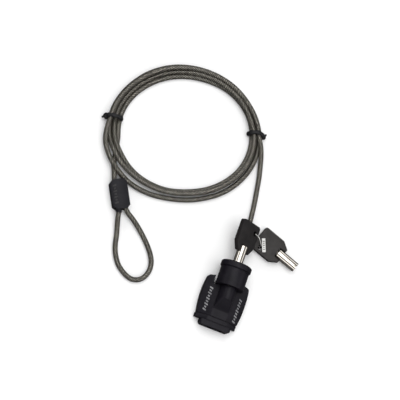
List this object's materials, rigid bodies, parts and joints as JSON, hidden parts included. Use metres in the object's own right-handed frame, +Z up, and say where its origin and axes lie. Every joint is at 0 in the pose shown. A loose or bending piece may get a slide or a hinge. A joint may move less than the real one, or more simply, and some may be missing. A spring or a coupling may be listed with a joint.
{
  "type": "laptop cable lock",
  "caption": "Key-operated port lock for a laptop: black lock head on a looped, coiled steel security cable, a tubular key in the lock and a spare on a wire loop.",
  "frame": {"origin": "on the flat underside of the lock head, under the middle of the lock axis", "axes": "+Y along the lock axis towards the key, -Y towards the port, +Z up from the flat base"},
  "size_m": [0.2289, 0.2345, 0.03],
  "materials": {
    "black_metal": "satin",
    "black_plastic": "satin",
    "key_plastic": "matte",
    "nickel": "satin nickel",
    "brass": "machined",
    "steel": "machined",
    "clear_vinyl": "clear coat over twisted steel strands",
    "rubber": "moulded",
    "nylon": "moulded",
    "tag": "matte"
  },
  "bodies": {
    "head": {"flange_collar": "black_metal", "barrel": "black_metal", "cable_terminal": "steel", "stator_case": "nickel", "driver_block": "brass", "spring_retainer": "brass", "driver_pin_1": "steel", "driver_pin_2": "steel", "driver_pin_3": "steel", "driver_pin_4": "steel", "driver_pin_5": "steel", "driver_pin_6": "steel", "driver_pin_7": "steel", "pin_spring_1": "steel", "pin_spring_2": "steel", "pin_spring_3": "steel", "pin_spring_4": "steel", "pin_spring_5": "steel", "pin_spring_6": "steel", "pin_spring_7": "steel", "housing_top": "black_plastic", "housing_base": "black_plastic", "base_screw_1": "steel", "base_screw_2": "steel", "base_screw_3": "steel", "base_screw_4": "steel", "port_collar": "black_plastic", "port_block": "black_plastic", "cable_tail": "clear_vinyl", "cable_coil": "clear_vinyl", "cable_lead": "clear_vinyl", "cable_loop": "clear_vinyl", "ferrule_cover": "rubber", "crimp_sleeve": "steel", "tie_left_strap": "nylon", "tie_left_head": "nylon", "tie_right_strap": "nylon", "tie_right_head": "nylon"},
    "rotor": {"rotor": "brass", "key_pin_1": "brass", "key_pin_2": "brass", "key_pin_3": "brass", "key_pin_4": "brass", "key_pin_5": "brass", "key_pin_6": "brass", "key_pin_7": "brass", "scroll_cam": "steel", "cam_screw": "steel"},
    "latch_right": {"latch_right": "steel"},
    "latch_left": {"latch_left": "steel"},
    "key_1": {"key_1_bow": "key_plastic", "key_1_tube": "nickel"},
    "loop": {"key_loop": "steel", "key_tag": "tag"},
    "key_2": {"key_2_bow": "key_plastic", "key_2_tube": "nickel"}
  },
  "joints": [
    {"name": "key_turn", "type": "hinge", "parent": "head", "child": "rotor", "pos_m": [0, 0, 0.0151], "axis": [0, -1, 0], "range_deg": [0, 90]},
    {"name": "latch_right_slide", "type": "slide", "parent": "head", "child": "latch_right", "axis": [-1, 0, 0], "range_m": [0, 0.00165]},
    {"name": "latch_left_slide", "type": "slide", "parent": "head", "child": "latch_left", "axis": [1, 0, 0], "range_m": [0, 0.00165]},
    {"name": "key_withdraw", "type": "slide", "parent": "rotor", "child": "key_1", "axis": [0, 1, 0], "range_m": [0, 0.012]},
    {"name": "loop_swing", "type": "hinge", "parent": "key_1", "child": "loop", "pos_m": [0.00615, 0.0687, 0.0106], "axis": [0, 0, 1], "range_deg": [-2, 5]},
    {"name": "key_2_swing", "type": "hinge", "parent": "loop", "child": "key_2", "pos_m": [0.018, 0.0598, 0.004], "axis": [0, 0, 1], "range_deg": [-10, 10]}
  ],
  "couplings": [
    {"joint": "latch_right_slide", "follows": "key_turn", "m_per_rad": 0.0010186},
    {"joint": "latch_left_slide", "follows": "key_turn", "m_per_rad": 0.0010186}
  ]
}
